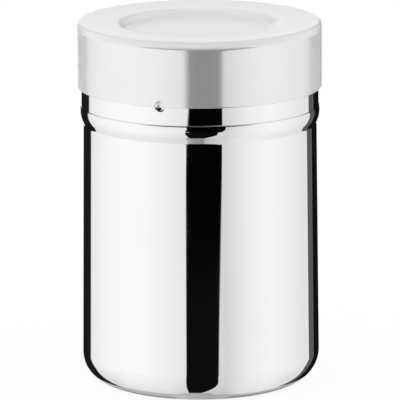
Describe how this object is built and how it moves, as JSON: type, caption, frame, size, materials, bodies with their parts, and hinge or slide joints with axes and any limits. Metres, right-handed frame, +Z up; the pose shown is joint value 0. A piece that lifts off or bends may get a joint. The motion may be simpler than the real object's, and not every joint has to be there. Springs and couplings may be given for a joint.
{
  "type": "restaurant spice shaker dispenser",
  "caption": "Round polished steel spice shaker with a push-on steel lid, a woven wire sieve under the lid and a frosted plastic dust cap.",
  "frame": {"origin": "centre of the foot ring, on the plane that the cup stands on", "axes": "+Z up along the cup's axis; -Y is the front, which the pictured side faces; +X to the right seen from the front"},
  "size_m": [0.0714, 0.0714, 0.1072],
  "materials": {
    "polished_steel": "polished",
    "lid_steel": "polished",
    "woven_wire": "satin drawn wire",
    "ring_steel": "satin",
    "frosted_plastic": "frosted, translucent"
  },
  "bodies": {
    "cup": {"body_cup": "polished_steel"},
    "lid": {"shaker_lid": "lid_steel", "sieve_mesh": "woven_wire", "sieve_ring": "ring_steel"},
    "cap": {"dust_cap": "frosted_plastic"}
  },
  "joints": [
    {"name": "lid_lift", "type": "slide", "parent": "cup", "child": "lid", "axis": [0, 0, 1], "range_m": [0, 0.06]},
    {"name": "cap_lift", "type": "slide", "parent": "lid", "child": "cap", "axis": [0, 0, 1], "range_m": [0, 0.045]}
  ]
}
